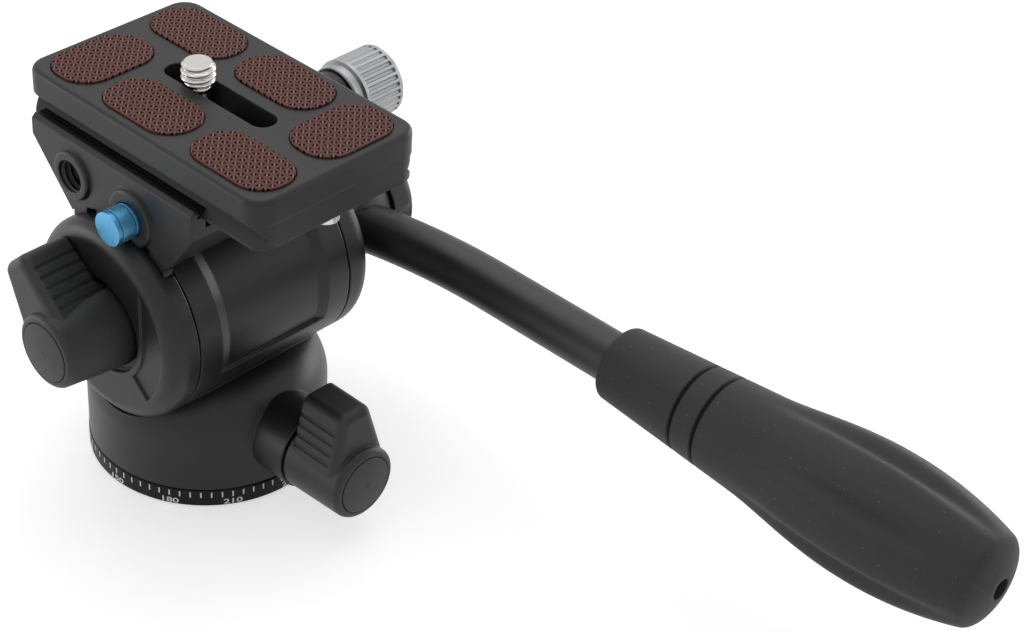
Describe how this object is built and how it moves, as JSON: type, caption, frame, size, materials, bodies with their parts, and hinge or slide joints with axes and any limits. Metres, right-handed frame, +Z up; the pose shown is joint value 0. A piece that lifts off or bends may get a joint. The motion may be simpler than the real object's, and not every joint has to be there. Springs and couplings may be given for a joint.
{
  "type": "fluid_video_head",
  "caption": "Compact fluid video head with a screw clamp, dovetail camera plate, two wing lock knobs, a degree ring and a curved pan handle",
  "frame": {"origin": "centre of the flat tripod face under the base, on the pan axis", "axes": "+Z up along the pan axis, +Y forward to the subject, +X to the operator's right along the tilt axis"},
  "size_m": [0.0871, 0.1806, 0.0832],
  "materials": {
    "black_satin": "satin black powder coat on a die casting",
    "black_ring": "black anodised turning with white degree marks",
    "grey_plate": "dark grey anodised, bead blasted",
    "pad_rubber": "brown-red rubber with a fine lattice",
    "knob_plastic": "black moulded plastic, fine grain",
    "silver_aluminium": "clear anodised, turned and fluted",
    "bright_metal": "nickel plated",
    "plain_steel": "plain turned steel",
    "damper_aluminium": "machined",
    "bearing_brass": "machined",
    "blue_anodised": "blue anodised, turned",
    "tube_black": "semi-gloss black",
    "grip_rubber": "matte black rubber"
  },
  "bodies": {
    "base": {"base_plate": "black_ring", "scale_ring": "black_ring", "tripod_bush": "bearing_brass", "pan_spindle": "plain_steel", "pan_nut": "plain_steel", "base_screws": "plain_steel"},
    "pan": {"pan_housing": "black_satin", "pan_washer": "bearing_brass", "pan_drag_ring": "plain_steel", "drum_cover": "damper_aluminium", "tilt_bushes": "bearing_brass"},
    "tilt": {"left_tilt_arm": "black_satin", "right_tilt_arm": "black_satin", "clamp_body": "black_satin", "arm_screws": "plain_steel", "tilt_axle": "plain_steel", "damper_rotor": "damper_aluminium", "guide_pins": "plain_steel", "button_spring": "plain_steel"},
    "tilt_lock": {"tilt_knob": "knob_plastic", "tilt_knob_cap": "knob_plastic", "tilt_knob_nut": "bearing_brass"},
    "pan_lock": {"pan_knob": "knob_plastic", "pan_knob_cap": "knob_plastic", "pan_stud": "plain_steel"},
    "pan_shoe": {"pan_brake_shoe": "bearing_brass"},
    "jaw": {"moving_jaw": "black_satin"},
    "clamp_turn": {"clamp_knob": "silver_aluminium", "clamp_screw": "plain_steel", "clamp_washer": "knob_plastic"},
    "button": {"safety_button": "blue_anodised", "safety_catch": "plain_steel"},
    "plate": {"qr_plate": "grey_plate", "plate_pads": "pad_rubber", "plate_stop_screws": "bright_metal"},
    "screw_carriage": {"screw_washer": "plain_steel"},
    "screw": {"camera_screw": "bright_metal"},
    "handle": {"handle_hub": "tube_black", "handle_tube": "tube_black", "grip": "grip_rubber"},
    "handle_lock": {"handle_knob": "knob_plastic", "handle_bolt": "plain_steel"}
  },
  "joints": [
    {"name": "pan", "type": "hinge", "parent": "base", "child": "pan", "pos_m": [0, 0, 0], "axis": [0, 0, 1], "continuous": true},
    {"name": "tilt", "type": "hinge", "parent": "pan", "child": "tilt", "pos_m": [0, 0, 0.0382], "axis": [1, 0, 0], "range_deg": [-80, 45]},
    {"name": "tilt_lock_turn", "type": "hinge", "parent": "tilt", "child": "tilt_lock", "pos_m": [0, 0, 0.0382], "axis": [1, 0, 0], "range_deg": [-60, 90]},
    {"name": "pan_lock_turn", "type": "hinge", "parent": "pan", "child": "pan_lock", "pos_m": [0, 0, 0.0131], "axis": [0, 1, 0], "range_deg": [-75, 75]},
    {"name": "pan_shoe_press", "type": "slide", "parent": "pan", "child": "pan_shoe", "axis": [0, 1, 0], "range_m": [-0.000208, 0.000208]},
    {"name": "jaw_slide", "type": "slide", "parent": "tilt", "child": "jaw", "axis": [1, 0, 0], "range_m": [0, 0.0035]},
    {"name": "clamp_knob_turn", "type": "hinge", "parent": "jaw", "child": "clamp_turn", "pos_m": [0, -0.003, 0.0654], "axis": [1, 0, 0], "range_deg": [0, 1575]},
    {"name": "button_press", "type": "slide", "parent": "tilt", "child": "button", "axis": [1, 0, 0], "range_m": [0, 0.0036], "stiffness_N_per_m": 400, "springref_m": -0.001},
    {"name": "plate_slide", "type": "slide", "parent": "tilt", "child": "plate", "axis": [0, 1, 0], "range_m": [-0.022, 0.022]},
    {"name": "screw_shift", "type": "slide", "parent": "plate", "child": "screw_carriage", "axis": [0, 1, 0], "range_m": [-0.017, 0.0054]},
    {"name": "camera_screw_turn", "type": "hinge", "parent": "screw_carriage", "child": "screw", "pos_m": [0, 0.0008, 0.0696], "axis": [0, 0, 1], "continuous": true},
    {"name": "handle_swing", "type": "hinge", "parent": "tilt", "child": "handle", "pos_m": [0, 0, 0.0382], "axis": [1, 0, 0], "range_deg": [-55, 60]},
    {"name": "handle_lock_turn", "type": "hinge", "parent": "tilt", "child": "handle_lock", "pos_m": [0, 0, 0.0382], "axis": [1, 0, 0], "range_deg": [0, 360]}
  ],
  "couplings": [
    {"joint": "clamp_knob_turn", "follows": "jaw_slide", "rad_per_m": 7854},
    {"joint": "pan_lock_turn", "follows": "pan_shoe_press", "rad_per_m": 6283.2}
  ]
}
